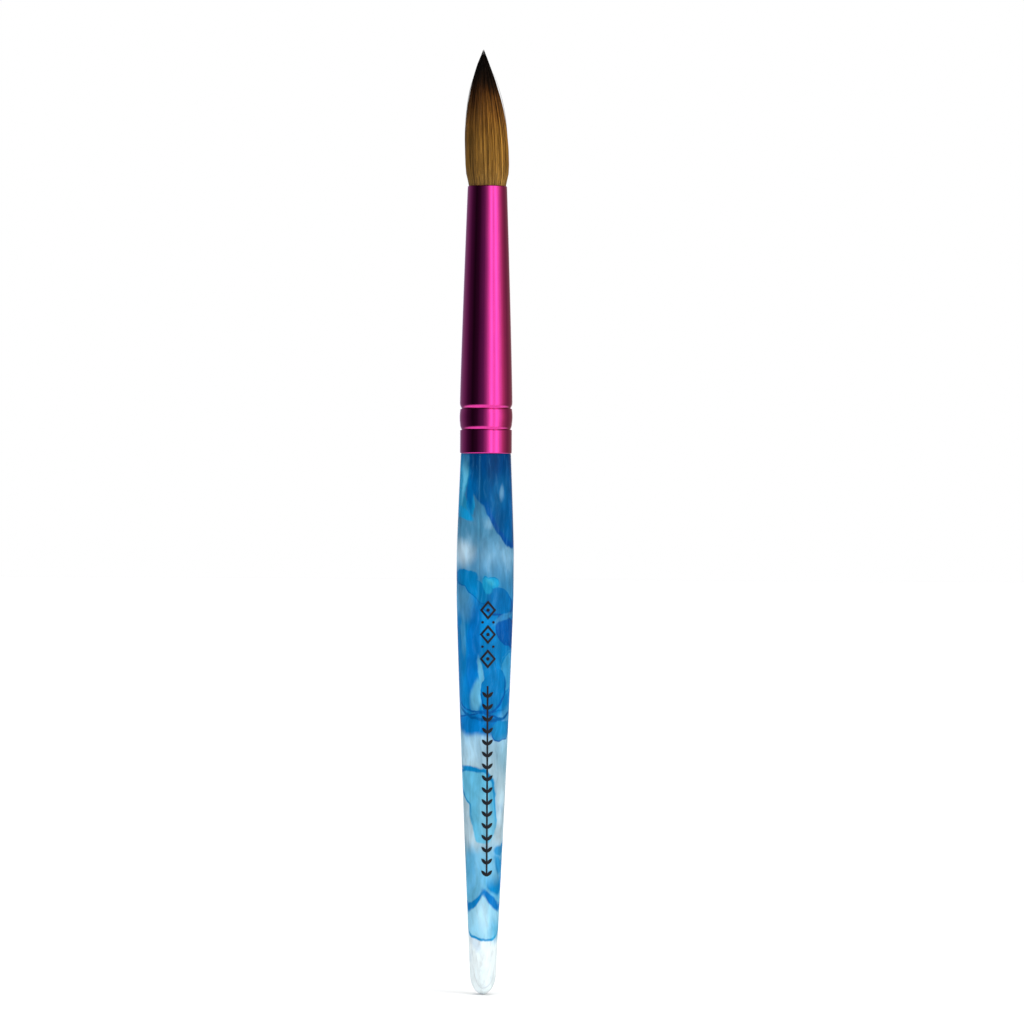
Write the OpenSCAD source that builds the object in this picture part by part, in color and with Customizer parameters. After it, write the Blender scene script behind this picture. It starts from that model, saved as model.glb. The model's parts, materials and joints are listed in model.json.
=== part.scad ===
// Acrylic nail brush: a turned resin handle, a tapered anodised ferrule with two rolled
// crimps, and a bound tuft of hair that flexes. Millimetres. +Z runs from the handle's tail
// to the tip of the tuft, and the origin is the middle of the grip, on the axis.

/* [Handle] */
// Diameter of the grip, the thickest stretch of the handle
grip_d = 10.6; // [10.2:0.1:11.4]
// Length of the grip's cylindrical stretch
grip_len = 8; // [6:0.5:12]
// Distance from the middle of the grip to the tail end
tail_reach = 78.1; // [70:0.1:90]
// Diameter where the tail starts to round off
tail_d = 4.8; // [4:0.1:6]
// Length of the rounded tail end
tail_round = 4; // [3:0.5:5]
// Diameter of the neck that meets the ferrule
neck_d = 9.36; // [9.2:0.02:9.5]
// Diameter of the tenon inside the ferrule
tenon_d = 8.6; // [8.2:0.05:8.65]
// Length of the tenon
tenon_len = 16; // [12:0.5:20]

/* [Ferrule] */
// Distance from the middle of the grip to the ferrule's lower edge
ferrule_start = 22; // [20:0.5:26]
// Length of the ferrule
ferrule_len = 49.5; // [47:0.5:55]
// Wall thickness of the tube
ferrule_wall = 0.35; // [0.25:0.05:0.4]
// Diameter of the collar at the lower end
collar_d = 9.68; // [9.6:0.02:9.8]
// Length of the collar, up to the lower crimp
collar_len = 4.2; // [4:0.1:5]
// Diameter just above the upper crimp, where the taper starts
taper_top_d = 9.8; // [9.7:0.02:10]
// Outer diameter at the mouth
mouth_d = 7.36; // [7.2:0.02:7.6]
// Width of one rolled crimp
crimp_w = 1; // [0.8:0.1:1.2]
// Depth of one rolled crimp
crimp_depth = 0.25; // [0.15:0.01:0.27]
// Length of the band between the crimps
barrel_len = 2.9; // [2.5:0.1:3.5]
// How far the band between the crimps stands proud at its middle
barrel_crown = 0.1; // [0.05:0.01:0.2]

/* [Tuft] */
// Length of the hair outside the ferrule
tuft_len = 25.4; // [24:0.2:28]
// Diameter of the tuft's belly
belly_d = 8.04; // [7.8:0.02:8.4]
// Height of the widest point above the mouth
belly_h = 6.4; // [5.5:0.1:7.5]
// Length of hair held inside the ferrule
root_len = 13.5; // [10:0.5:16]
// How far each of the six joints turns each way, in degrees
flex_deg = 12; // [8:1:12]

/* [Binding] */
// Diameter of the binding thread
thread_d = 0.4; // [0.3:0.05:0.5]
// Number of turns of the binding thread
thread_turns = 5; // [3:1:6]
// Length of the resin plug behind the hair
plug_len = 4; // [3:0.5:6]

/* [Printed mark] */
// Thickness of the ink
ink_t = 0.05; // [0.03:0.01:0.08]
// How far the mark sits to the right of the handle's front line
mark_shift = 0.6; // [0:0.1:1]
// Width of the large lozenges
lozenge_w = 3; // [2:0.1:3.4]
// Number of leaf pairs on the stem
leaf_pairs = 16; // [10:1:17]

/* [Hidden] */
$fn = 96;

far = 20;                 // reaches past every radius of the brush
taper_power = 1.16;       // the handle's and the ferrule's tapers bow outwards a little
taper_steps = 24;         // facets along one taper
arc_steps = 8;            // facets along a crimp, a lip or the band between the crimps
lip_r = 0.12;             // the ferrule's lower edge curls in by this much
rim_r = 0.15;             // rounding of the mouth's outer edge
neck_round = 0.8;         // the handle's shoulder rounds off under the ferrule
neck_in = 0.08;
tenon_groove = 0.12;      // depth of the tenon's two grooves, which the crimps bite into

grip_r = grip_d / 2;
collar_r = collar_d / 2;
mouth_z = ferrule_start + ferrule_len;
root_z = mouth_z - root_len;
mouth_bore_r = mouth_d / 2 - ferrule_wall;
lower_crimp_z = ferrule_start + collar_len + crimp_w / 2;
upper_crimp_z = lower_crimp_z + crimp_w + barrel_len;
taper_z = upper_crimp_z + crimp_w;

// Radius of a bowed taper, from r0 where s is 0 to r1 where s is 1
function taper_r(r0, r1, s) = r0 - (r0 - r1) * pow(s, taper_power);

// Outline points of a bowed taper from z0 to z1
function taper_points(r0, z0, r1, z1, steps) =
    [for (i = [0 : steps]) [taper_r(r0, r1, i / steps), z0 + (z1 - z0) * i / steps]];

// The same points in the opposite order
function reversed(points) = [for (i = [len(points) - 1 : -1 : 0]) points[i]];

// Outline points of one rolled crimp, as a full cosine wave
function crimp_points(z, r, depth) =
    [for (i = [1 : 2 * arc_steps - 1])
        [r - depth * (1 - cos(180 * i / arc_steps)) / 2,
         z + crimp_w * (i / (2 * arc_steps) - 0.5)]];

// Outline points of the crowned band between the crimps
function barrel_points() =
    [for (i = [0 : arc_steps])
        let (u = 2 * i / arc_steps - 1)
        [collar_r + barrel_crown * (1 - u * u),
         lower_crimp_z + crimp_w / 2 + barrel_len * i / arc_steps]];

// The ferrule's outline from the collar to the mouth, moved inwards by inset
function tube_points(inset) =
    [for (p = concat(
        [[collar_r, ferrule_start + collar_len]],
        crimp_points(lower_crimp_z, collar_r, crimp_depth),
        barrel_points(),
        crimp_points(upper_crimp_z, collar_r, crimp_depth),
        [[collar_r, upper_crimp_z + crimp_w / 2]],
        taper_points(taper_top_d / 2, taper_z, mouth_d / 2, mouth_z, taper_steps)))
        [p[0] - inset, p[1]]];

// Radius of the free tuft at height h above the mouth
function tuft_r(h) = h < belly_h
    ? belly_d / 2 - (belly_d / 2 - mouth_bore_r) * pow(1 - h / belly_h, 4.5)
    : belly_d / 2 * (1 - pow((h - belly_h) / (tuft_len - belly_h), 1.95));

// The tuft's six joints: heights above the mouth, ball radii, and the room each one needs
joint_h = [for (i = [0 : 5]) 4 + 3.2 * i];
ball_gap = 0.12;
ball_share = 0.8;
rim_gap = 0.2;
function ball_r(k) = ball_share * tuft_r(joint_h[k]);
function rim_h(k) = joint_h[k] - tuft_r(joint_h[k]) * sin(flex_deg) - rim_gap;

// Keeps what lies between two heights
module slice(z0, z1) {
    intersection() {
        children();
        translate([0, 0, z0]) cylinder(h = z1 - z0, r = far);
    }
}

// ---- Handle ----

// The handle's outside without its tenon, grown outwards by grow
module handle_outside(grow = 0) {
    tail_z = -tail_reach + tail_round;
    tail_r = tail_d / 2;
    tail_arc = [for (i = [0 : 2 * arc_steps - 1])
        let (a = 90 * i / (2 * arc_steps))
        [(tail_r + grow) * sin(a), tail_z - (tail_round + grow) * cos(a)]];
    lower = [for (p = reversed(taper_points(grip_r, -grip_len / 2, tail_r, tail_z, taper_steps)))
        [p[0] + grow, p[1]]];
    upper = [for (p = taper_points(grip_r, grip_len / 2, neck_d / 2,
        ferrule_start - neck_round, taper_steps / 2)) [p[0] + grow, p[1]]];
    shoulder = [for (i = [1 : arc_steps])
        let (a = 90 * i / arc_steps)
        [neck_d / 2 - neck_in * (1 - cos(a)) + grow, ferrule_start - neck_round * (1 - sin(a))]];
    rotate_extrude()
        polygon(concat(tail_arc, lower, upper, shoulder, [[0, ferrule_start]]));
}

module tenon() {
    r = tenon_d / 2;
    chamfer = 0.5;
    difference() {
        union() {
            translate([0, 0, ferrule_start - 1]) cylinder(h = tenon_len + 1 - chamfer, r = r);
            translate([0, 0, ferrule_start + tenon_len - chamfer])
                cylinder(h = chamfer, r1 = r, r2 = r - chamfer);
        }
        for (z = [lower_crimp_z, upper_crimp_z])
            translate([0, 0, z - crimp_w / 2]) difference() {
                cylinder(h = crimp_w, r = far);
                cylinder(h = crimp_w, r = r - tenon_groove);
            }
    }
}

module handle() {
    color("lightsteelblue") union() {
        handle_outside();
        tenon();
    }
}

// ---- Ferrule and what holds it ----

// Everything inside the ferrule's bore
module bore_fill() {
    rotate_extrude()
        polygon(concat([[0, ferrule_start], [collar_r - ferrule_wall, ferrule_start]],
            tube_points(ferrule_wall), [[0, mouth_z]]));
}

module ferrule() {
    lip = [for (i = [0 : arc_steps])
        let (a = 90 * i / arc_steps)
        [collar_r - lip_r * (1 - sin(a)), ferrule_start + 3 * lip_r * (1 - cos(a))]];
    outline = tube_points(0);
    tube = [for (i = [0 : len(outline) - 2]) outline[i]];
    rim = [for (i = [0 : arc_steps])
        let (a = 90 * i / arc_steps)
        [mouth_d / 2 - rim_r * (1 - cos(a)), mouth_z - rim_r * (1 - sin(a))]];
    color("mediumvioletred") difference() {
        rotate_extrude()
            polygon(concat([[0, ferrule_start]], lip, tube, rim, [[0, mouth_z]]));
        bore_fill();
    }
}

module tenon_adhesive() {
    color("khaki") difference() {
        slice(ferrule_start, ferrule_start + tenon_len) bore_fill();
        tenon();
    }
}

module resin_plug() {
    color("darkgoldenrod") slice(root_z - plug_len, root_z) bore_fill();
}

// ---- Tuft ----

// A band of the tuft's outside between two heights above the mouth
module tuft_band(h0, h1) {
    step = 0.5;
    n = ceil((h1 - h0) / step);
    side = [for (i = [0 : n])
        let (h = h0 + (h1 - h0) * i / n)
        [max(tuft_r(h), 0), mouth_z + h]];
    rotate_extrude() polygon(concat([[0, mouth_z + h0]], side, [[0, mouth_z + h1]]));
}

// The hollow that joint k's ball turns in
module socket(k) {
    translate([0, 0, mouth_z + joint_h[k]]) sphere(r = ball_r(k) + ball_gap);
}

// The stretch of tuft that turns about joint k and carries the one above it
module tuft_segment(k) {
    last = k == len(joint_h) - 1;
    z = mouth_z + joint_h[k];
    color([0.5 - 0.06 * k, 0.36 - 0.045 * k, 0.16 - 0.02 * k]) difference() {
        union() {
            tuft_band(joint_h[k], last ? tuft_len : rim_h(k + 1));
            slice(z - far, z) translate([0, 0, z]) sphere(r = ball_r(k));
        }
        if (!last) socket(k + 1);
    }
}

// Heights of the binding thread's turns
thread_z = [for (i = [0 : thread_turns - 1]) root_z + 2.5 + i * thread_d];

module binding_thread() {
    r = mouth_bore_r - thread_d / 2 - 0.05;
    color("ivory") for (z = thread_z)
        translate([0, 0, z]) rotate_extrude() translate([r, 0]) circle(d = thread_d - 0.01);
}

module tuft_root() {
    waist_h = thread_turns * thread_d;
    waist_r = mouth_bore_r - thread_d - 0.05;
    color("peru") difference() {
        union() {
            slice(root_z, mouth_z) bore_fill();
            tuft_band(0, rim_h(0));
        }
        translate([0, 0, thread_z[0] - thread_d / 2]) difference() {
            cylinder(h = waist_h, r = far);
            cylinder(h = waist_h, r = waist_r);
        }
        socket(0);
    }
}

module tuft_heel() tuft_segment(0);
module tuft_lower_belly() tuft_segment(1);
module tuft_upper_belly() tuft_segment(2);
module tuft_shoulder() tuft_segment(3);
module tuft_taper() tuft_segment(4);
module tuft_tip() tuft_segment(5);

// ---- Printed mark: a generic ornament of lozenges and a leafy stem ----

line_w = 0.32;
lozenge_count = 3;
lozenge_top = -6.9;
lozenge_pitch = 4.5;
lozenge_h = 3.6;
stem_top = -20.9;
leaf_pitch = 2.2;
leaf_len = 1.5;
leaf_r = 1.1;

module lozenge(w, h) {
    polygon([[w / 2, 0], [0, h / 2], [-w / 2, 0], [0, -h / 2]]);
}

// A pointed leaf with its stalk end at the origin, along +Y
module leaf() {
    side = sqrt(leaf_r * leaf_r - leaf_len * leaf_len / 4);
    intersection() {
        translate([side, leaf_len / 2]) circle(r = leaf_r);
        translate([-side, leaf_len / 2]) circle(r = leaf_r);
    }
}

module mark_outline() {
    for (i = [0 : lozenge_count - 1]) translate([0, lozenge_top - i * lozenge_pitch]) {
        difference() {
            lozenge(lozenge_w, lozenge_h);
            lozenge(lozenge_w - 3 * line_w, lozenge_h - 4 * line_w);
        }
        circle(d = 2 * line_w);
        if (i > 0) translate([0, lozenge_pitch / 2]) for (x = [-1, 1])
            translate([x * lozenge_w / 3, 0]) circle(d = 1.5 * line_w);
    }
    stem_len = leaf_pitch * leaf_pairs;
    translate([-line_w / 2, stem_top - stem_len]) square([line_w, stem_len]);
    for (i = [0 : leaf_pairs - 1], x = [-1, 1])
        translate([0, stem_top - leaf_pitch * (i + 1)]) rotate(-42 * x) leaf();
}

module printed_mark() {
    color("black") intersection() {
        difference() {
            handle_outside(ink_t);
            handle_outside();
        }
        translate([mark_shift, 0, 0]) rotate([90, 0, 0]) linear_extrude(far) mark_outline();
    }
}

handle();
tenon_adhesive();
ferrule();
resin_plug();
binding_thread();
tuft_root();
tuft_heel();
tuft_lower_belly();
tuft_upper_belly();
tuft_shoulder();
tuft_taper();
tuft_tip();
printed_mark();
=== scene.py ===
"""Looks of the acrylic nail brush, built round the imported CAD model.

Metres, with +Z towards the tip of the tuft and -Y towards the viewer.
"""
import json
import math

import bpy
import numpy as np
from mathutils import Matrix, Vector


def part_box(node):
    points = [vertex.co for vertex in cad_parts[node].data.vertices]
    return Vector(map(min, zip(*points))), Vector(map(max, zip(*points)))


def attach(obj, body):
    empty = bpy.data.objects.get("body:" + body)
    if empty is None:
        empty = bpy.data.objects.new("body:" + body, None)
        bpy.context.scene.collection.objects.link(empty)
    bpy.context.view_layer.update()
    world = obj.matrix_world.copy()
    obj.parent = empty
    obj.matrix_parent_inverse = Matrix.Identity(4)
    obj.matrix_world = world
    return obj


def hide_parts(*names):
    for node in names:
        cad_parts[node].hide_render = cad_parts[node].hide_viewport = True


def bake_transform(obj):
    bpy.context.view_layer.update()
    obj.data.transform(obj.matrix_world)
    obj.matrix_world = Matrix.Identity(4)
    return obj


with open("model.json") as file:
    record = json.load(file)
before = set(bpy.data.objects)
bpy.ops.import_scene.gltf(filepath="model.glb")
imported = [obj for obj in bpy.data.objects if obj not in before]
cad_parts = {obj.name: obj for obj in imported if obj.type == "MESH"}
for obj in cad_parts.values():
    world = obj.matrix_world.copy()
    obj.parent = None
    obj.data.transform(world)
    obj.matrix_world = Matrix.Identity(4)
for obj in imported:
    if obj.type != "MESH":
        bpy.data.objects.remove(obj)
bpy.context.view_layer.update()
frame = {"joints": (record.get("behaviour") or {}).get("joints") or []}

MM = 0.001

# ---- Driving dimensions, from the frame where it holds them ----

handle_lo, handle_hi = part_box("handle")
ferrule_lo, ferrule_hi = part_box("ferrule")
GRIP_R = handle_hi[0]
TAIL_Z = handle_lo[2]
TENON_TOP = handle_hi[2]
NECK_Z = ferrule_lo[2]
MOUTH_Z = ferrule_hi[2]
TIP_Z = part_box("tuft_tip")[1][2]
TUFT_LEN = TIP_Z - MOUTH_Z

GRIP_HALF = 4 * MM
TAIL_R = 2.4 * MM
TAIL_ROUND = 4 * MM
NECK_R = 4.68 * MM
NECK_ROUND = 0.8 * MM
NECK_IN = 0.08 * MM
TENON_R = 4.3 * MM
TAPER_POWER = 1.16

WALL = 0.35 * MM
COLLAR_R = 4.84 * MM
COLLAR_LEN = 4.2 * MM
LIP_R = 0.12 * MM
CRIMP_W = 1.0 * MM
CRIMP_DEPTH = 0.25 * MM
BARREL_LEN = 2.9 * MM
BARREL_CROWN = 0.1 * MM
TAPER_TOP_R = 4.9 * MM
MOUTH_R = 3.68 * MM
RIM_R = 0.15 * MM

BELLY_R = 4.02 * MM
BELLY_H = 6.4 * MM
JOINT_H = [j["pos_m"][2] - MOUTH_Z for j in frame["joints"]]


# ---- Node helpers ----

def linear(r, g, b):
    """A display colour in 0 to 255 as linear RGBA."""
    def one(c):
        c /= 255
        return c / 12.92 if c <= 0.04045 else ((c + 0.055) / 1.055) ** 2.4
    return (one(r), one(g), one(b), 1.0)


def add(tree, kind, *inputs, **settings):
    """A new node with its settings and its first inputs, each a value or a socket to link."""
    node = tree.nodes.new("ShaderNode" + kind)
    for name, value in settings.items():
        setattr(node, name, value)
    for socket, value in zip(node.inputs, inputs):
        put(tree, socket, value)
    return node


def put(tree, socket, value):
    if isinstance(value, bpy.types.NodeSocket):
        tree.links.new(value, socket)
    elif value is not None:
        socket.default_value = value


def maths(tree, operation, *values):
    return add(tree, "Math", *values, operation=operation).outputs[0]


def vector(tree, operation, *values):
    return add(tree, "VectorMath", *values, operation=operation).outputs[0]


def along(tree, where, way):
    """How far a point lies along way. Splitting the vector would cost Cycles more room."""
    return add(tree, "VectorMath", where, way, operation="DOT_PRODUCT").outputs["Value"]


def mixed(tree, factor, a, b, blend="MIX"):
    node = add(tree, "Mix", factor, data_type="RGBA", blend_type=blend)
    put(tree, node.inputs[6], a)
    put(tree, node.inputs[7], b)
    return node.outputs[2]


def times_grey(tree, colour, level):
    """colour with each channel times level."""
    grey = add(tree, "CombineColor", level, level, level).outputs[0]
    return mixed(tree, 1.0, colour, grey, "MULTIPLY")


def span(tree, value, low, high, to_low=0.0, to_high=1.0, smooth=True):
    """value mapped from low..high to to_low..to_high, and no further.

    A smooth step needs no clamp, which would cost Cycles room.
    """
    node = add(tree, "MapRange", value, low, high, to_low, to_high, clamp=not smooth)
    node.interpolation_type = "SMOOTHSTEP" if smooth else "LINEAR"
    return node.outputs[0]


def ramp(tree, value, stops):
    """The colour at value along (position, colour) stops."""
    node = add(tree, "ValToRGB", value)
    band = node.color_ramp
    while len(band.elements) < len(stops):
        band.elements.new(0.5)
    for element, (at, colour) in zip(band.elements, stops):
        element.position = at
        element.color = colour
    return node.outputs[0]


def noise(tree, where, scale, detail=2.0, roughness=0.5):
    return add(tree, "TexNoise", where, None, scale, detail, roughness).outputs[0]


def drift(tree, where, scale, detail):
    """A noise vector with each part between -0.5 and 0.5."""
    node = add(tree, "TexNoise", where, None, scale, detail)
    return vector(tree, "SUBTRACT", node.outputs[1], (0.5, 0.5, 0.5))


def material(name):
    """A new material with a bare Principled shader: the material, its tree and the shader."""
    mat = bpy.data.materials.new(name)
    mat.use_nodes = True
    tree = mat.node_tree
    tree.nodes.clear()
    shader = tree.nodes.new("ShaderNodeBsdfPrincipled")
    out = tree.nodes.new("ShaderNodeOutputMaterial")
    tree.links.new(shader.outputs[0], out.inputs[0])
    return mat, tree, shader


def millimetres(tree):
    """The point in the row frame, in millimetres."""
    return scaled(tree, add(tree, "TexCoord").outputs["Object"], 1000)


def scaled(tree, where, factor):
    node = add(tree, "VectorMath", where, operation="SCALE")
    node.inputs["Scale"].default_value = factor
    return node.outputs[0]


def stretched(tree, where, share):
    """The point with its z times share, which draws a noise out along the brush."""
    return vector(tree, "MULTIPLY", where, (1, 1, share))


def bump(tree, shader, height, strength, distance):
    node = add(tree, "Bump")
    put(tree, node.inputs["Strength"], strength)
    put(tree, node.inputs["Distance"], distance)
    put(tree, node.inputs["Height"], height)
    put(tree, shader.inputs["Normal"], node.outputs[0])


# ---- Mesh helpers ----

def new_piece(name, verts, faces, mat, flat=()):
    """A new mesh object, smooth but for the faces whose numbers are in flat."""
    mesh = bpy.data.meshes.new(name)
    mesh.from_pydata(verts, [], faces)
    smooth = np.ones(len(mesh.polygons), bool)
    smooth[list(flat)] = False
    mesh.polygons.foreach_set("use_smooth", smooth)
    mesh.update()
    corners = np.zeros(len(mesh.polygons), int)
    mesh.polygons.foreach_get("loop_total", corners)
    edge_of = np.zeros(len(mesh.loops), int)
    mesh.loops.foreach_get("edge_index", edge_of)
    sharp = np.zeros(len(mesh.edges), bool)
    sharp[edge_of[np.repeat(~smooth, corners)]] = True
    mesh.attributes.new("sharp_edge", "BOOLEAN", "EDGE").data.foreach_set("value", sharp)
    piece = bpy.data.objects.new(name, mesh)
    bpy.context.scene.collection.objects.link(piece)
    mesh.materials.append(mat)
    return piece


def turned(name, profile, mat, segments=160, ring=False, shift=None):
    """A lathe shape from (radius, z) points.

    ring joins the last point to the first, and shift(angle, z) moves a point along Z.
    """
    verts, rings = [], []
    for radius, z in profile:
        if radius == 0:
            rings.append([len(verts)] * segments)
            verts.append((0, 0, z))
            continue
        rings.append(list(range(len(verts), len(verts) + segments)))
        for i in range(segments):
            a = math.tau * i / segments
            dz = shift(a, z) if shift else 0
            verts.append((radius * math.cos(a), radius * math.sin(a), z + dz))
    faces = []
    pairs = list(zip(rings, rings[1:] + rings[:1] if ring else rings[1:]))
    for low, high in pairs:
        for i in range(segments):
            j = (i + 1) % segments
            corners = [low[i], low[j], high[j], high[i]]
            faces.append(tuple(dict.fromkeys(corners)))
    piece = new_piece(name, verts, faces, mat)
    mark_sharp(piece.data, profile, rings, ring)
    return piece


def mark_sharp(mesh, profile, rings, ring, angle=math.radians(35)):
    """Keeps a crease where the lathe's outline turns by more than angle."""
    count = len(profile)
    sharp = set()
    for k in range(count):
        if not ring and k in (0, count - 1):
            continue
        a, b, c = profile[k - 1], profile[k], profile[(k + 1) % count]
        first = math.atan2(b[1] - a[1], b[0] - a[0])
        turn = math.atan2(c[1] - b[1], c[0] - b[0]) - first
        if abs((turn + math.pi) % math.tau - math.pi) > angle:
            sharp.update(rings[k])
    flags = [e.vertices[0] in sharp and e.vertices[1] in sharp for e in mesh.edges]
    mesh.attributes["sharp_edge"].data.foreach_set("value", flags)


def tapered(r0, z0, r1, z1, steps):
    """Points of a bowed taper, as the CAD model has it."""
    return [
        (r0 - (r0 - r1) * (i / steps) ** TAPER_POWER, z0 + (z1 - z0) * i / steps)
        for i in range(steps + 1)
    ]


# ---- Camera, world, lights and floor ----

VIEW_SPAN = 1.0836 * (TIP_Z - TAIL_Z)
CAMERA_DISTANCE = 1.0
SENSOR_MM = 36.0
CAMERA_ASIDE = 4.9 * MM
CAMERA_UP = 1.8 * MM
CAMERA_ROLL = -0.33
WHITE = (1, 1, 1, 1)
STRIP_TINT = (0.2, 0.75, 1.0)
STRIP_HEIGHT, STRIP_AWAY = 0.6, 1.3
FLOOR_HALF = 6.0
FLOOR_GAP = 0.05 * MM


def make_camera():
    data = bpy.data.cameras.new("camera")
    data.sensor_width = SENSOR_MM
    data.lens = SENSOR_MM * CAMERA_DISTANCE / VIEW_SPAN
    camera = bpy.data.objects.new("camera", data)
    bpy.context.scene.collection.objects.link(camera)
    middle = (TIP_Z + TAIL_Z) / 2
    camera.location = (CAMERA_ASIDE, -CAMERA_DISTANCE, middle + CAMERA_UP)
    camera.rotation_euler = (math.radians(90), math.radians(CAMERA_ROLL), 0)
    bpy.context.scene.camera = camera


def make_world():
    """A studio round the brush, dark on its left and bright on its right. The camera sees white."""
    world = bpy.data.worlds.new("studio")
    bpy.context.scene.world = world
    world.use_nodes = True
    tree = world.node_tree
    tree.nodes.clear()
    way = add(tree, "SeparateXYZ", add(tree, "TexCoord").outputs["Generated"])
    x, y, z = way.outputs
    turn = maths(tree, "ARCTAN2", x, maths(tree, "MULTIPLY", y, -1))
    share = maths(tree, "MULTIPLY_ADD", turn, 1 / math.tau, 0.5)

    def stop(degrees, level, tint):
        return (degrees / 360 + 0.5, tuple(level * t for t in tint) + (1,))

    # 0 degrees is the camera's side, positive to its right
    cool, plain, warm = (1, 1.05, 1.25), (1, 1, 1), (1.05, 0.95, 0.7)
    walls = ramp(tree, share, [
        stop(-180, 1.5, plain), stop(-166, 0.9, cool), stop(-152, 0.22, cool),
        stop(-118, 0.15, cool), stop(-88, 0.045, cool), stop(-62, 0.01, cool),
        stop(-40, 0.025, cool), stop(-12, 0.12, cool), stop(1, 0.36, plain),
        stop(12, 0.82, plain), stop(24, 1.75, plain), stop(35, 0.95, plain),
        stop(47, 1.75, plain), stop(62, 0.95, plain), stop(78, 0.5, warm),
        stop(92, 0.26, warm), stop(110, 0.15, warm), stop(152, 0.2, warm),
        stop(168, 0.9, plain), stop(180, 1.5, plain),
    ])
    light = times_grey(tree, walls, span(tree, z, 0.25, 0.6, 1, 0.12))
    light = mixed(tree, span(tree, z, -0.3, -0.58), light, WHITE)
    seen = add(tree, "LightPath").outputs["Is Camera Ray"]
    light = mixed(tree, seen, light, WHITE)
    background = add(tree, "Background", light, 1.0)
    tree.links.new(background.outputs[0], tree.nodes.new("ShaderNodeOutputWorld").inputs[0])


def make_lamp(name, strength, azimuth, elevation, softness):
    """A soft lamp far away that no surface mirrors. Its azimuth is counted as in make_world()."""
    data = bpy.data.lights.new(name, "SUN")
    data.energy = strength
    data.angle = math.radians(softness)
    lamp = bpy.data.objects.new(name, data)
    lamp.visible_glossy = False
    lamp.rotation_euler = (math.radians(90 - elevation), 0, math.radians(azimuth))
    bpy.context.scene.collection.objects.link(lamp)


def make_strip(name, glow, azimuth, width, pieces):
    """A thin upright tube of light that shows only as a line of gloss on these pieces."""
    data = bpy.data.lights.new(name, "AREA")
    data.shape = "RECTANGLE"
    data.size, data.size_y = width, STRIP_HEIGHT
    data.energy = glow * math.pi * width * STRIP_HEIGHT
    data.color = STRIP_TINT
    lamp = bpy.data.objects.new(name, data)
    a = math.radians(azimuth)
    lamp.location = (STRIP_AWAY * math.sin(a), -STRIP_AWAY * math.cos(a), 0)
    lamp.rotation_euler = (math.radians(90), 0, a)
    lamp.visible_camera = lamp.visible_diffuse = False
    bpy.context.scene.collection.objects.link(lamp)
    receivers = bpy.data.collections.new(name + "_receivers")
    for piece in pieces:
        receivers.objects.link(piece)
    lamp.light_linking.receiver_collection = receivers


def make_floor():
    mat, tree, shader = material("floor_white")
    grain = noise(tree, millimetres(tree), 0.05)
    paint = mixed(tree, grain, (0.9, 0.9, 0.9, 1), (0.93, 0.93, 0.93, 1))
    put(tree, shader.inputs["Base Color"], paint)
    shader.inputs["Roughness"].default_value = 0.9
    shader.inputs["Specular IOR Level"].default_value = 0.1
    half, z = FLOOR_HALF, TAIL_Z - FLOOR_GAP
    corners = [(-half, -half, z), (half, -half, z), (half, half, z), (-half, half, z)]
    floor = new_piece("floor", corners, [(0, 1, 2, 3)], mat)
    floor.visible_glossy = False  # or it would flood the ferrule's dark bands in views from above


# ---- Handle ----

# In millimetres
CLOUD_Y, CLOUD_DEPTH = -4.2, 9.0
BACK_DRIFT = (1.6, -12.0)  # how far in x and z the clouds are carried at the back
WIDE_WARP, FINE_WARP, FLOW_WARP = 2.0, 0.6, 3.0
# As shares of a cloud's reach
RIM_AT, RIM_WIDTH = 0.93, 0.1
JOIN = 0.12  # how softly the parts of one cloud run together


def reach(tree, where, parts):
    """How far out a point lies in a blob of ellipsoids, 1 at its surface.

    Each part is x, z, half width, half height and tilt in degrees. where is the point and the same
    point turned a quarter round Y. Mapping nodes would cost Cycles more room.
    """
    total = None
    for x, z, wide, high, tilt in parts:
        c, s = math.cos(math.radians(tilt)), math.sin(math.radians(tilt))
        offset = ((z * s - x * c) / wide, -CLOUD_Y / CLOUD_DEPTH, -(x * s + z * c) / high)
        local = vector(tree, "MULTIPLY_ADD", where[0], (c / wide, 1 / CLOUD_DEPTH, c / high), offset)
        local = vector(tree, "MULTIPLY_ADD", where[1], (s / wide, 0, s / high), local)
        length = add(tree, "VectorMath", local, operation="LENGTH").outputs["Value"]
        total = length if total is None else maths(tree, "SMOOTH_MIN", total, length, JOIN)
    return total


def fading(tree, where, mask, start, end):
    """mask from nothing at start to all of it at end, both (x, z)."""
    way = (end[0] - start[0], 0, end[1] - start[1])
    first = start[0] * way[0] + start[1] * way[2]
    share = span(tree, along(tree, where[0], way), first, first + way[0] ** 2 + way[2] ** 2)
    return maths(tree, "MULTIPLY", mask, share)


def cloud(tree, below, where, parts, colour, rim=None, soft=0.04, strength=1.0, fade=None,
          rim_fade=None):
    """A cloud of pigment in the resin; a few of the clouds are painted highlight and painted shade
    instead.

    fade and rim_fade hold the two ends between which the cloud, or its rim, fades in.
    """
    out = reach(tree, where, parts)
    mask = span(tree, out, 1 + soft, 1 - soft, 0, strength)
    if fade:
        mask = fading(tree, where, mask, *fade)
    below = mixed(tree, mask, below, colour)
    if rim:
        off = maths(tree, "ABSOLUTE", maths(tree, "SUBTRACT", out, RIM_AT))
        edge = span(tree, off, RIM_WIDTH, 0.2 * RIM_WIDTH)
        if rim_fade or fade:
            edge = fading(tree, where, edge, *(rim_fade or fade))
        below = mixed(tree, edge, below, rim)
    return below


def thread(tree, below, where, part, width, colour, fade):
    """A thin line of pigment along one side of an ellipsoid."""
    off = maths(tree, "ABSOLUTE", maths(tree, "SUBTRACT", reach(tree, where, [part]), 1.0))
    mask = span(tree, off, width, 0.3 * width)
    return mixed(tree, fading(tree, where, mask, *fade), below, colour)


NAVY = linear(0, 74, 150)
AZURE = linear(8, 130, 198)
MILK = linear(178, 214, 230)
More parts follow.
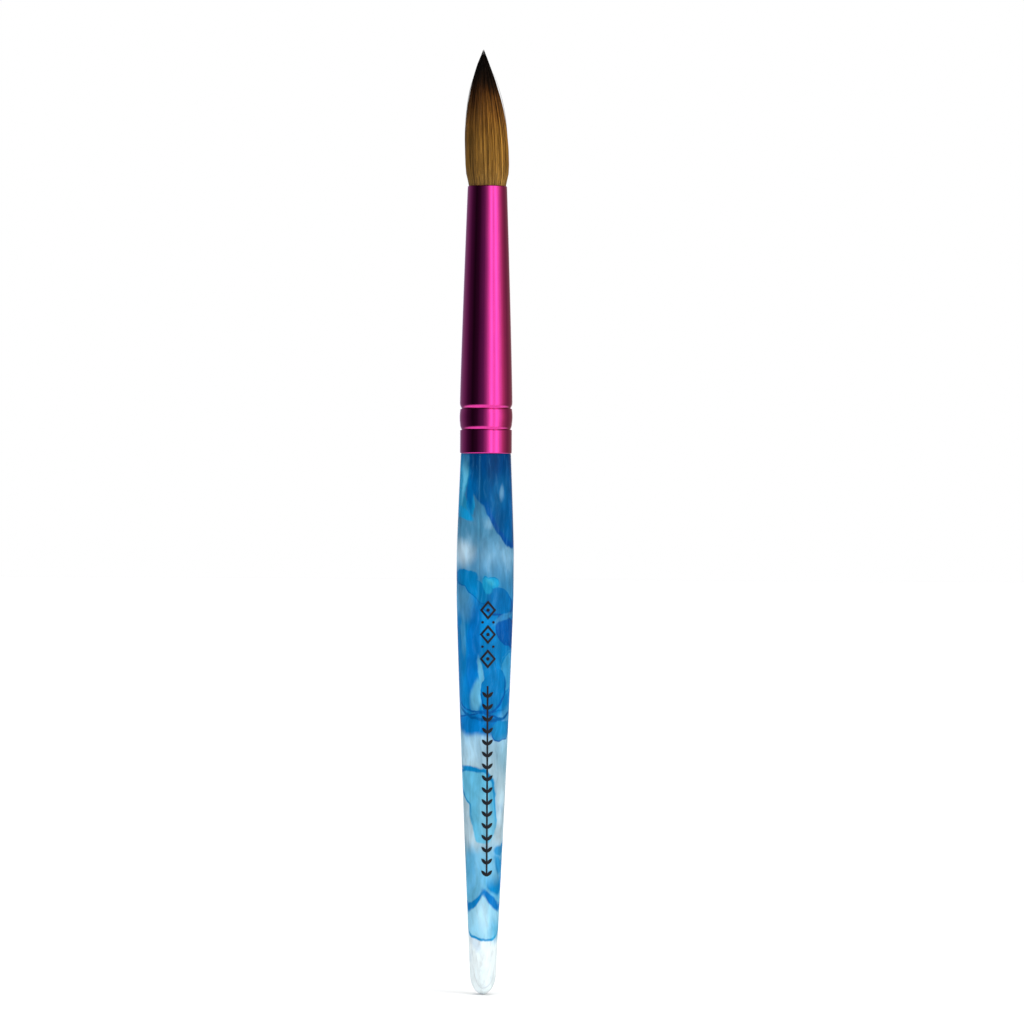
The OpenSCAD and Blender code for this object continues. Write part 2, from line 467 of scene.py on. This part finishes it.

# Clouds on the printed side, the lowest layer first: the blob's parts as reach() takes them,
# its colour, and what cloud() takes besides. Most are pigment; the painted highlight and painted
# shade among them are marked.
FRONT_CLOUDS = [
    ([(-4.4, 3.6, 2.0, 1.9, 20)], linear(206, 230, 242), {"soft": 0.7, "strength": 0.6}),
    ([(0.0, -15.5, 7.0, 12.0, 0)], linear(4, 126, 196), {"soft": 0.05}),
    ([(4.3, -18.2, 1.7, 4.3, 12)], linear(52, 152, 206), {"rim": AZURE}),
    ([(-2.0, -14.0, 1.2, 8.5, 3)], linear(0, 116, 198), {"soft": 0.25}),
    ([(-3.9, -11.5, 0.5, 4.0, 0)], linear(72, 160, 208), {"soft": 0.4, "strength": 0.6}),
    ([(-0.7, -18.8, 0.45, 3.0, -8), (-1.4, -22.8, 0.95, 3.0, 12)], linear(104, 186, 222),
     {"soft": 0.35, "strength": 0.85}),
    ([(1.6, -22.0, 2.3, 4.6, 14)], linear(4, 120, 188),
     {"rim": linear(0, 86, 166), "rim_fade": ((0, -20), (2.5, -24))}),
    ([(3.9, -10.5, 1.7, 3.4, -14)], linear(0, 90, 172),
     {"rim": NAVY, "rim_fade": ((2, -12), (4, -9))}),
    ([(2.0, -5.6, 3.5, 2.6, 25)], linear(2, 112, 182),
     {"rim": linear(0, 82, 162), "rim_fade": ((2, -4), (3.4, -7))}),
    ([(3.6, -8.2, 0.5, 2.4, 55)], linear(70, 160, 208), {"soft": 0.35, "strength": 0.55}),
    ([(-4.4, -5.4, 1.7, 3.0, -25)], linear(96, 164, 204), {"soft": 0.5, "strength": 0.55}),
    ([(-3.6, -0.9, 1.5, 2.2, -60), (-1.6, -3.6, 1.3, 3.2, -42)], linear(2, 122, 186),
     {"soft": 0.1, "rim": linear(0, 100, 172), "rim_fade": ((-1.5, -1), (-3.4, -3.4))}),
    ([(0.2, -2.6, 1.0, 1.7, -10), (1.4, -2.0, 1.1, 1.1, 30)], linear(22, 156, 208),
     {"soft": 0.2, "rim": linear(0, 124, 190), "rim_fade": ((0.8, -3), (1.0, -1.2))}),
    ([(0.9, -1.9, 0.9, 0.6, 20)], linear(60, 178, 214), {"soft": 0.6, "strength": 0.7}),
    ([(-4.9, 17.4, 1.9, 7.2, 8), (-4.6, 12.6, 1.5, 2.4, 0)], linear(32, 136, 182), {"soft": 0.12}),
    ([(-3.7, 18.2, 0.4, 4.8, 5)], linear(100, 186, 218), {"soft": 0.6, "strength": 0.75}),
    ([(-4.0, 11.0, 1.9, 0.9, 35), (-2.5, 12.6, 0.7, 1.8, 5)], linear(18, 140, 196), {"soft": 0.2}),
    ([(-2.4, 17.4, 0.7, 6.2, 3)], linear(0, 98, 164), {"soft": 0.3}),
    ([(0.4, 20.6, 3.4, 8.2, 0), (4.8, 13.2, 4.9, 9.8, -20)], linear(0, 86, 148),
     {"rim": NAVY, "rim_fade": ((1, 16), (2, 10))}),
    # Painted shadow of the ferrule: darkens the deep blue pigment in a band across the top of the
    # handle, just below the ferrule.
    ([(1.0, 23.0, 6.0, 5.0, 0)], linear(0, 58, 116), {"soft": 0.4, "strength": 0.85}),
    # Painted highlight: a soft lighter glow and a small bright spot in the cap, standing for a
    # window's reflection in the gloss.
    ([(2.6, 14.4, 1.5, 3.0, 10)], linear(16, 102, 160), {"soft": 0.5, "strength": 0.7}),
    ([(3.0, 14.6, 0.4, 1.4, 8)], linear(130, 184, 212), {"soft": 0.6, "strength": 0.45}),
    ([(-1.2, -28.0, 5.6, 1.9, 8)], linear(0, 118, 194),
     {"soft": 0.3, "rim": linear(0, 88, 164), "rim_fade": ((0, -28.4), (0, -27))}),
    ([(3.2, -29.2, 1.9, 1.8, 0)], linear(20, 130, 190),
     {"soft": 0.08, "rim": linear(0, 88, 170), "rim_fade": ((2.4, -28.8), (2.8, -30.4))}),
    ([(-2.1, -39.8, 2.2, 4.2, -22), (-1.4, -38.8, 2.4, 2.7, 0), (0.0, -43.0, 2.65, 7.0, -3)],
     linear(104, 193, 230), {"rim": linear(4, 134, 202), "rim_fade": ((-1.5, -50), (0.5, -40))}),
    ([(0.6, -45.0, 1.4, 4.4, -8)], linear(140, 210, 238), {"soft": 0.5, "strength": 0.6}),
    ([(2.0, -41.6, 0.6, 3.4, -4)], linear(44, 164, 212), {"soft": 0.7, "strength": 0.4}),
    ([(-2.4, -36.1, 2.0, 0.5, 10)], linear(10, 138, 204), {"soft": 0.4}),
    # Painted shade: darkens the right side of the pale zone.
    ([(4.2, -34.5, 1.7, 3.2, 0)], linear(128, 181, 204), {"soft": 0.7, "strength": 0.7}),
    ([(-2.4, -54.0, 1.1, 3.4, 8)], linear(70, 156, 200), {"soft": 0.5, "strength": 0.6}),
    ([(3.2, -51.4, 1.0, 1.1, 40), (2.9, -54.2, 0.9, 2.0, -12)], linear(24, 136, 196),
     {"soft": 0.3, "strength": 0.9}),
    ([(2.2, -57.4, 1.5, 2.6, -25)], linear(4, 136, 204),
     {"soft": 0.2, "fade": ((0.8, -56), (2.4, -58))}),
    ([(0.1, -62.6, 1.5, 3.6, 0), (0.1, -64.9, 3.2, 3.35, 0)], linear(150, 213, 241),
     {"rim": linear(16, 146, 210), "rim_fade": ((0, -64.5), (0, -67.3))}),
    ([(0.0, -63.6, 1.1, 3.2, 0)], linear(194, 230, 244), {"soft": 0.8, "strength": 0.7}),
    ([(2.0, -66.4, 1.1, 1.8, 0)], linear(70, 176, 220), {"soft": 0.7, "strength": 0.7}),
    ([(-1.3, -61.1, 0.42, 3.0, 34)], linear(4, 132, 206), {"soft": 0.35}),
    ([(1.6, -60.8, 0.6, 2.8, -33)], linear(0, 122, 204), {"soft": 0.3}),
]

# Thin lines on the printed side: the ellipsoid, the line's width as a share of it, its colour,
# and the ends between which it fades in
FRONT_THREADS = [
    ((0.6, -20.0, 7.0, 7.5, -8), 0.05, linear(0, 90, 158), ((0, -23), (0, -26))),
    ((0.6, -19.6, 7.0, 6.6, -8), 0.035, linear(0, 92, 168), ((-1, -22), (-2.5, -25))),
    ((4.8, -11.0, 1.4, 3.6, -14), 0.1, linear(0, 86, 162), ((4, -11), (4.2, -13))),
    ((0.0, -72.2, 1.9, 4.9, 0), 0.06, linear(222, 232, 236), ((0, -71), (0, -76))),
]


def make_marble():
    """Pearly resin with clouds of blue pigment, some with darker rims where two colours met, and a
    few patches of painted highlight and painted shade.
    """
    mat, tree, shader = material("marbled_resin")
    where = millimetres(tree)
    wide = drift(tree, stretched(tree, where, 0.7), 0.2, 1.0)
    fine = drift(tree, stretched(tree, where, 0.6), 0.8, 2.0)
    warped = vector(tree, "ADD", where, scaled(tree, wide, WIDE_WARP))
    warped = vector(tree, "ADD", warped, scaled(tree, fine, FINE_WARP))

    # The back repeats the printed side's clouds, mirrored and carried along by BACK_DRIFT
    y = along(tree, warped, (0, 1, 0))
    mirror = maths(tree, "SUBTRACT", maths(tree, "MULTIPLY", maths(tree, "ABSOLUTE", y), -1), y)
    behind = span(tree, y, -1.5, 4.5)
    aside, down = [maths(tree, "MULTIPLY", behind, d) for d in BACK_DRIFT]
    warped = vector(tree, "ADD", warped, add(tree, "CombineXYZ", aside, mirror, down).outputs[0])
    both = (warped, vector(tree, "CROSS_PRODUCT", warped, (0, 1, 0)))

    def stop(z, *colour):
        return ((z - 1000 * TAIL_Z) / (1000 * (NECK_Z - TAIL_Z)), linear(*colour))

    share = span(tree, along(tree, warped, (0, 0, 1)), 1000 * TAIL_Z, 1000 * NECK_Z, smooth=False)
    base = ramp(tree, share, [
        stop(-78.1, 240, 250, 252), stop(-66.0, 236, 249, 252), stop(-64.0, 120, 196, 232),
        stop(-60, 100, 184, 224), stop(-52, 116, 178, 210), stop(-49, 180, 208, 222),
        stop(-38, 176, 208, 222), stop(-31, 158, 202, 226), stop(-27, 60, 150, 204),
        stop(-6, 30, 132, 190), stop(-2, 60, 136, 184), stop(3, 104, 158, 192),
        stop(8, 66, 128, 164), stop(14, 54, 116, 156), stop(22, 30, 104, 150),
    ])
    mist = noise(tree, stretched(tree, where, 0.5), 0.35, 3.0)
    base = mixed(tree, span(tree, mist, 0.52, 0.75, 0, 0.22), base, MILK)
    base = mixed(tree, span(tree, mist, 0.46, 0.3, 0, 0.22), base, AZURE)
    for parts, colour, more in FRONT_CLOUDS:
        base = cloud(tree, base, both, parts, colour, **more)
    for part, width, colour, fade in FRONT_THREADS:
        base = thread(tree, base, both, part, width, colour, fade)

    flow = vector(tree, "ADD", where, scaled(tree, wide, FLOW_WARP))
    silk = noise(tree, stretched(tree, flow, 0.12), 1.7, 4.0, 0.62)
    swirl = noise(tree, stretched(tree, warped, 0.3), 0.7, 3.0, 0.6)
    base = mixed(tree, span(tree, silk, 0.5, 0.75, 0, 0.09), base, linear(110, 190, 226))
    depth = noise(tree, stretched(tree, warped, 0.4), 0.4, 1.0)
    depth = span(tree, depth, 0.32, 0.68, 0.78, 1.12)
    # The clear tail has no pigment, so it doesn't darken
    depth = mixed(tree, span(tree, along(tree, where, (0, 0, 1)), -60, -68), depth, WHITE)
    silk_level = span(tree, silk, 0.3, 0.6, 0.88, 1.05)
    level = maths(tree, "MULTIPLY", silk_level, span(tree, swirl, 0.3, 0.7, 0.93, 1.05))
    base = mixed(tree, 1.0, base, depth, "MULTIPLY")
    base = times_grey(tree, base, level)
    put(tree, shader.inputs["Base Color"], base)
    grain = noise(tree, where, 7.0, 2.0)
    put(tree, shader.inputs["Roughness"], span(tree, grain, 0.2, 0.8, 0.13, 0.18))
    bump(tree, shader, noise(tree, where, 0.9, 2.0), 0.04, 0.05 * MM)
    shader.inputs["Specular IOR Level"].default_value = 0.06
    return mat


def handle_profile():
    """Outline of the handle from the tip of the tail to the top of the tenon."""
    tail_z = TAIL_Z + TAIL_ROUND
    tail = [
        (TAIL_R * math.sin(a), tail_z - TAIL_ROUND * math.cos(a))
        for a in (math.pi / 2 * i / 20 for i in range(20))
    ]
    lower = tapered(GRIP_R, -GRIP_HALF, TAIL_R, tail_z, 100)[::-1]
    upper = tapered(GRIP_R, GRIP_HALF, NECK_R, NECK_Z - NECK_ROUND, 30)
    shoulder = [
        (NECK_R - NECK_IN * (1 - math.cos(a)), NECK_Z - NECK_ROUND * (1 - math.sin(a)))
        for a in (math.pi / 2 * i / 8 for i in range(1, 9))
    ]
    tenon = [(TENON_R, NECK_Z), (TENON_R, TENON_TOP), (0, TENON_TOP)]
    return tail + lower + upper + shoulder + tenon


def make_handle(marble):
    handle = turned("handle_body", handle_profile(), marble)
    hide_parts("handle")
    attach(handle, "brush")
    return handle


# ---- Ferrule ----

LOWER_CRIMP_Z = NECK_Z + COLLAR_LEN + CRIMP_W / 2
UPPER_CRIMP_Z = LOWER_CRIMP_Z + CRIMP_W + BARREL_LEN
TAPER_Z = UPPER_CRIMP_Z + CRIMP_W
# Along a crimp, as shares of its width: where its fall starts, its bottom, where its rise ends
CRIMP_FALL, CRIMP_BOTTOM, CRIMP_RISE_END = 0.12, 0.3, 1.25
WANDER_REACH = 4.2 * MM


def crimp(z, upper_r, steps=26):
    """A rolled groove with a steep lower side. Its upper side rises in a long curve to upper_r."""
    points = []
    for i in range(steps + 1):
        t = CRIMP_RISE_END * i / steps
        if t < CRIMP_BOTTOM:
            fallen = max(0, (t - CRIMP_FALL) / (CRIMP_BOTTOM - CRIMP_FALL))
            radius = COLLAR_R - CRIMP_DEPTH * fallen ** 1.5
        else:
            left = (CRIMP_RISE_END - t) / (CRIMP_RISE_END - CRIMP_BOTTOM)
            radius = upper_r - (upper_r - COLLAR_R + CRIMP_DEPTH) * left ** 2
        points.append((radius, z + CRIMP_W * (t - 0.5)))
    return points


def ferrule_profile():
    """Outline of the tube: from the curled lower edge up its outside, then down the bore."""
    lip = [
        (COLLAR_R - LIP_R * (1 - math.sin(a)), NECK_Z + 3 * LIP_R * (1 - math.cos(a)))
        for a in (math.pi / 2 * i / 8 for i in range(9))
    ]
    barrel = []
    low = LOWER_CRIMP_Z + CRIMP_W * (CRIMP_RISE_END - 0.5)
    high = UPPER_CRIMP_Z - CRIMP_W / 2
    for i in range(1, 24):
        u = 2 * i / 24 - 1
        barrel.append((COLLAR_R + BARREL_CROWN * (1 - u * u), low + (high - low) * i / 24))
    tube = crimp(LOWER_CRIMP_Z, COLLAR_R) + barrel + crimp(UPPER_CRIMP_Z, TAPER_TOP_R)
    tube += tapered(TAPER_TOP_R, TAPER_Z, MOUTH_R, MOUTH_Z, 50)
    bore = [(r - WALL, z) for r, z in tube][::-1]
    rim = [
        (MOUTH_R - RIM_R * (1 - math.cos(a)), MOUTH_Z - RIM_R * (1 - math.sin(a)))
        for a in (math.pi / 2 * i / 6 for i in range(7))
    ]
    return lip + tube[:-1] + rim + bore + [(COLLAR_R - WALL, NECK_Z)]


def crimp_wander(angle, z):
    """The crimps were rolled by hand, so they wander a little along the tube."""
    near = max(0, 1 - abs(z - (LOWER_CRIMP_Z + UPPER_CRIMP_Z) / 2) / WANDER_REACH)
    slow = 0.09 * math.sin(angle + 0.4)
    quick = 0.05 * math.sin(3 * angle + 2)
    return near * MM * (slow + quick + 0.03 * math.sin(7 * angle))


def make_ferrule():
    mat, tree, shader = material("anodised_magenta")
    where = millimetres(tree)
    drawn = noise(tree, stretched(tree, where, 0.04), 3.0, 3.0, 0.6)
    mottle = noise(tree, where, 0.6, 2.0)
    colour = mixed(tree, span(tree, drawn, 0.3, 0.7), (0.8, 0.02, 0.34, 1), (0.9, 0.03, 0.38, 1))
    colour = mixed(tree, span(tree, mottle, 0.4, 0.7, 0, 0.25), colour, (0.74, 0.02, 0.37, 1))
    put(tree, shader.inputs["Base Color"], colour)
    put(tree, shader.inputs["Roughness"], span(tree, drawn, 0.2, 0.8, 0.09, 0.13))
    shader.inputs["Metallic"].default_value = 1.0
    shader.inputs["Coat Weight"].default_value = 1.0
    shader.inputs["Coat IOR"].default_value = 1.45
    shader.inputs["Coat Roughness"].default_value = 0.1
    dents = noise(tree, stretched(tree, where, 0.6), 0.8, 2.0)
    height = maths(tree, "ADD", dents, maths(tree, "MULTIPLY", drawn, 0.1))
    bump(tree, shader, height, 0.06, 0.05 * MM)
    ferrule = turned("ferrule_tube", ferrule_profile(), mat, 192, ring=True, shift=crimp_wander)
    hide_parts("ferrule")
    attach(ferrule, "brush")


# ---- Tuft ----

# Heights above the mouth where one stretch of hair ends and the next begins, halfway between
# joints. The hairs start a little way down inside the mouth.
HIDDEN_ROOT = 1.0 * MM
CUTS = [-HIDDEN_ROOT] + [(a + b) / 2 for a, b in zip(JOINT_H, JOINT_H[1:])] + [TUFT_LEN]
RINGS = 4
SIDES = 4
SHORTEST = 0.4 * MM
LEAN = 0.85 * MM
LEAN_H = 22 * MM
CORE_SHARE = 0.88
CORE_TOP = 0.95


def tuft_radius(h):
    """The tuft's radius at height h above the mouth, as the CAD model has it."""
    h = np.clip(h, 0, TUFT_LEN)
    bore = MOUTH_R - WALL
    below = BELLY_R - (BELLY_R - bore) * np.clip(1 - h / BELLY_H, 0, 1) ** 4.5
    above = BELLY_R * (1 - np.clip((h - BELLY_H) / (TUFT_LEN - BELLY_H), 0, 1) ** 1.95)
    return np.where(h < BELLY_H, below, above)


def lean(h):
    """The tuft's point sits a little to the left of the axis."""
    return -LEAN * np.clip(h / LEAN_H, 0, 1) ** 1.25


class Hairs:
    """A layer of hairs: where each one starts and ends, how thick it is, and how it runs.

    low and high bound the hairs' places as shares of the tuft's radius, longest is a share of its
    length, clumps is how many locks the hairs draw together in, and loose is how far they stray.
    """

    def __init__(self, seed, count, low, high, longest, clumps, loose):
        rng = np.random.default_rng(seed)
        self.share = rng.uniform(low, high, count)
        self.angle = rng.uniform(0, math.tau, count)
        level = np.linspace(BELLY_H, TUFT_LEN * longest, 200)
        width = tuft_radius(level) / BELLY_R
        self.end = np.interp(1 - rng.uniform(0, 1, count) ** 0.8, 1 - width, level)
        long_ones = rng.uniform(0, 1, count) < 0.12
        self.end = np.where(long_ones, TUFT_LEN * longest * rng.uniform(0.93, 1.0, count), self.end)
        centres = np.sort(rng.uniform(0, math.tau, clumps))
        nearest = np.abs((self.angle[:, None] - centres + math.pi) % math.tau - math.pi).argmin(1)
        self.pull_to = (centres[nearest] - self.angle + math.pi) % math.tau - math.pi
        self.lift = rng.normal(0, 1, clumps)[nearest]
        self.thick = rng.uniform(0.042, 0.062, count) * MM
        self.wave = rng.uniform(0, math.tau, (count, 2))
        self.loose = loose * rng.normal(0, 1, count)
        self.tone = np.clip(rng.normal(0.5, 0.22, count) + 0.1 * self.lift, 0, 1)

    def places(self, who, h):
        """Angle, distance from the axis and thickness at heights h, a row for each hair in who."""
        t = np.clip(h / TUFT_LEN, 0, 1)
        angle = self.angle[who, None] + self.pull_to[who, None] * (0.1 + 0.35 * t)
        angle = angle + 0.012 * np.sin(h / (3.1 * MM) + self.wave[who, :1])
        ridge = 0.024 * self.lift[who, None] * np.clip(h / (3 * MM), 0, 1)
        radius = tuft_radius(h) * (self.share[who, None] + ridge)
        ripple = 0.03 * MM * np.sin(h / (2.3 * MM) + self.wave[who, 1:])
        radius = radius + ripple * np.clip(h / (2 * MM), 0, 1)
        free = np.clip((h - 2 * MM) / (14 * MM), 0, 1) ** 2
        stray = self.loose[who, None] * free * np.clip(tuft_radius(h) / (2 * MM), 0, 1)
        radius = np.abs(radius + stray)
        left = np.clip((self.end[who, None] - h) / (0.3 * self.end[who, None]), 0, 1)
        thick = self.thick[who, None] * (0.08 + 0.92 * left ** 0.7)
        return angle, radius, thick


def pale_strand():
    """Two pale hairs side by side over the right of the belly, as in the photo."""
    hairs = Hairs(14, 2, 0.985, 0.99, 0.9, 1, 0)
    hairs.angle = np.array([-0.72, -0.695])
    hairs.pull_to = np.full(2, -0.3)
    hairs.lift = np.zeros(2)
    hairs.end = TUFT_LEN * np.array([0.66, 0.7])
    hairs.tone = np.full(2, 1.35)
    return hairs


def hair_stretch(name, hairs, k, mat):
    """The part of a layer of hairs between two cuts, as closed four-sided tubes."""
    low, high = CUTS[k], CUTS[k + 1]
    who = np.flatnonzero(hairs.end > low + SHORTEST)
    if not len(who):
        return None
    top = np.minimum(hairs.end[who], high)
    steps = np.linspace(0, 1, RINGS + 1)
    h = low + (top - low)[:, None] * steps
    angle, radius, thick = hairs.places(who, h)
    out = np.stack([np.cos(angle), np.sin(angle)], -1)
    centre_x = radius * out[..., 0] + lean(h)
    centre_y = radius * out[..., 1]
    turn = math.tau * (np.arange(SIDES) + 0.5) / SIDES
    outward = thick[..., None] * np.cos(turn)
    across = thick[..., None] * np.sin(turn)
    x = centre_x[..., None] + outward * out[..., :1] - across * out[..., 1:]
    y = centre_y[..., None] + outward * out[..., 1:] + across * out[..., :1]
    z = np.broadcast_to((MOUTH_Z + h)[..., None], x.shape)
    verts = np.stack([x, y, z], -1).reshape(-1, 3)
    rings = RINGS + 1
    one_hair = []
    for j in range(RINGS):
        for i in range(SIDES):
            n = (i + 1) % SIDES
            low_ring, high_ring = j * SIDES, (j + 1) * SIDES
            one_hair.append([low_ring + i, low_ring + n, high_ring + n, high_ring + i])
    one_hair.append(list(range(SIDES))[::-1])
    one_hair.append([RINGS * SIDES + i for i in range(SIDES)])
    start = (np.arange(len(who)) * rings * SIDES)[:, None, None]
    faces = (start + np.array(one_hair)[None]).reshape(-1, 4)
    caps = [n for n in range(len(faces)) if n % len(one_hair) >= RINGS * SIDES]
    piece = new_piece(name, verts.tolist(), faces.tolist(), mat, caps)
    tone = np.repeat(hairs.tone[who], rings * SIDES)
    colour = np.stack([tone, tone, tone, np.ones_like(tone)], -1)
    hair = piece.data.attributes.new("hair", "FLOAT_COLOR", "POINT")
    hair.data.foreach_set("color", colour.ravel())
    return piece


def core_stretch(name, k, mat):
    """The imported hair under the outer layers, as one closed body with fine ridges."""
    low, high = CUTS[k], min(CUTS[k + 1], TUFT_LEN * CORE_TOP)
    steps, segments = 10, 180
    verts = []
    for i in range(steps + 1):
        h = low + (high - low) * i / steps
        for s in range(segments):
            a = math.tau * s / segments
            ridge = 0.012 * math.sin(45 * a + 3 * math.sin(2 * a)) + 0.01 * math.sin(31 * a + 1)
            radius = float(tuft_radius(h)) * (CORE_SHARE + ridge)
            verts.append((radius * math.cos(a) + float(lean(h)), radius * math.sin(a), MOUTH_Z + h))
    faces = [tuple(range(segments))[::-1]]
    for i in range(steps):
        for s in range(segments):
            n = (s + 1) % segments
            low_ring, high_ring = i * segments, (i + 1) * segments
            faces.append((low_ring + s, low_ring + n, high_ring + n, high_ring + s))
    faces.append(tuple(steps * segments + s for s in range(segments)))
    return new_piece(name, verts, faces, mat, (0, len(faces) - 1))


def follow_joint(piece):
    """Bakes a stretch of hair's placement into its mesh."""
    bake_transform(piece)


# Painted shade: how dark the packed core is kept against the hair over it, standing for the shade
# deep in the tuft.
CORE_PAINTED_SHADE = 0.45
# Colours from the mouth, 0, to the tip of the tuft, 1
HAIR_STOPS = [
    (0.0, linear(160, 120, 56)), (0.12, linear(160, 116, 48)), (0.35, linear(156, 110, 42)),
    (0.48, linear(138, 92, 34)), (0.56, linear(116, 74, 26)), (0.64, linear(78, 44, 11)),
    (0.72, linear(38, 21, 7)), (0.83, linear(18, 10, 6)), (1.0, linear(10, 6, 5)),
]


def make_hair_material(name, core):
    """Golden brown hair that darkens to nearly black at the point, each hair in its own tone, with
    painted shade on the tuft's left side and over the whole packed core.
    """
    mat, tree, shader = material(name)
    where = millimetres(tree)
    share = span(tree, along(tree, where, (0, 0, 1)), 1000 * MOUTH_Z, 1000 * TIP_Z, smooth=False)
    streak = noise(tree, stretched(tree, where, 0.05), 3.2, 3.0, 0.65)
    patch = noise(tree, stretched(tree, where, 0.25), 0.55, 2.0)
    if core:
        tone = streak
    else:
        traits = add(tree, "Attribute", attribute_name="hair")
        tone = add(tree, "SeparateColor", traits.outputs["Color"]).outputs[0]
    shift = maths(tree, "MULTIPLY_ADD", maths(tree, "SUBTRACT", tone, 0.5), -0.1, share)
    shift = maths(tree, "MULTIPLY_ADD", maths(tree, "SUBTRACT", patch, 0.5), 0.22, shift)
    colour = ramp(tree, shift, HAIR_STOPS)
    light = maths(tree, "MULTIPLY_ADD", maths(tree, "MAXIMUM", tone, 0.1), 1.235, 0.327)
    vary = maths(tree, "MULTIPLY", light, span(tree, streak, 0.3, 0.7, 0.7, 1.25))
    # Painted shade: the hair is darkened towards the tuft's left side, as light falls from the
    # right.
    left_painted_shade = span(tree, along(tree, where, (1, 0, 0)), -4.5, 1.0, 0.42, 0.94)
    vary = maths(tree, "MULTIPLY", vary, left_painted_shade)
    # Painted shade deep in the tuft darkens the packed core.
    if core:
        vary = maths(tree, "MULTIPLY", vary, CORE_PAINTED_SHADE)
    put(tree, shader.inputs["Base Color"], times_grey(tree, colour, vary))
    put(tree, shader.inputs["Roughness"], span(tree, streak, 0.2, 0.8, 0.38, 0.55))
    shader.inputs["Specular IOR Level"].default_value = 0.2
    return mat


LAYERS = [
    ("outer_hair", Hairs(11, 1600, 0.92, 0.97, 0.995, 84, 0.03 * MM)),
    ("inner_hair", Hairs(12, 1100, 0.83, 0.93, 0.985, 60, 0.02 * MM)),
    ("loose_hair", Hairs(13, 160, 0.95, 0.98, 1.0, 60, 0.12 * MM)),
    ("pale_strand", pale_strand()),
]
TUFT_NODES = [
    "tuft_root", "tuft_heel", "tuft_lower_belly", "tuft_upper_belly",
    "tuft_shoulder", "tuft_taper", "tuft_tip",
]


def make_tuft():
    """Layers of hair over a core, in one stretch for each joint that replaces a node."""
    hair = make_hair_material("kolinsky_hair", core=False)
    packed = make_hair_material("packed_hair", core=True)
    for k in range(len(JOINT_H)):
        pieces = [core_stretch(f"packed_hair_{k + 1}", k, packed)]
        pieces += [hair_stretch(f"{name}_{k + 1}", hairs, k, hair) for name, hairs in LAYERS]
        for piece in filter(None, pieces):
            follow_joint(piece)
        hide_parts(TUFT_NODES[k + 1])
        if k == 0:
            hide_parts(TUFT_NODES[0])


# ---- Finishes of the CAD pieces that stay as they are ----

def finish_node(node, mat):
    """Gives every material slot of a CAD node's object this material."""
    piece = bpy.data.objects[node]
    for slot in piece.material_slots:
        slot.material = mat


def make_ink():
    mat, tree, shader = material("black_ink")
    speck = noise(tree, millimetres(tree), 4.0, 3.0)
    black = mixed(tree, speck, (0.006, 0.006, 0.008, 1), (0.016, 0.018, 0.024, 1))
    put(tree, shader.inputs["Base Color"], black)
    put(tree, shader.inputs["Roughness"], span(tree, speck, 0.3, 0.7, 0.3, 0.45))
    shader.inputs["Specular IOR Level"].default_value = 0.15
    return mat


def make_glue(name, low, high, roughness):
    mat, tree, shader = material(name)
    swirl = noise(tree, millimetres(tree), 1.2, 3.0)
    put(tree, shader.inputs["Base Color"], mixed(tree, swirl, low, high))
    put(tree, shader.inputs["Roughness"], span(tree, swirl, 0.3, 0.7, roughness, roughness + 0.15))
    return mat


def make_thread():
    mat, tree, shader = material("waxed_thread")
    where = millimetres(tree)
    wave = add(tree, "TexWave", where, 6.0, 2.0, wave_type="BANDS", bands_direction="DIAGONAL")
    twist = wave.outputs[1]
    cotton = mixed(tree, twist, linear(190, 178, 148), linear(232, 224, 200))
    put(tree, shader.inputs["Base Color"], cotton)
    put(tree, shader.inputs["Roughness"], span(tree, twist, 0, 1, 0.6, 0.75))
    bump(tree, shader, twist, 0.4, 0.03 * MM)
    return mat


bpy.context.scene.view_settings.view_transform = "Standard"
make_camera()
make_world()
# Each lamp: its strength, azimuth, elevation and softness in degrees
make_lamp("key", 0.6, 50, 40, 30)
make_lamp("fill", 0.62, -40, 20, 60)
make_lamp("back", 0.3, 205, 30, 40)
make_lamp("top", 2.85, 0, 85, 60)
make_floor()
handle = make_handle(make_marble())
make_strip("left_tube", 90.0, -27, 0.028, [handle])
make_strip("middle_tube", 34.0, 8, 0.022, [handle])
make_strip("right_tube", 26.0, 32, 0.012, [handle])
make_ferrule()
make_tuft()
finish_node("printed_mark", make_ink())
glue = make_glue("tenon_glue", linear(206, 186, 132), linear(226, 210, 166), 0.25)
finish_node("tenon_adhesive", glue)
finish_node("resin_plug", make_glue("plug_resin", linear(120, 78, 30), linear(160, 112, 52), 0.18))
finish_node("binding_thread", make_thread())
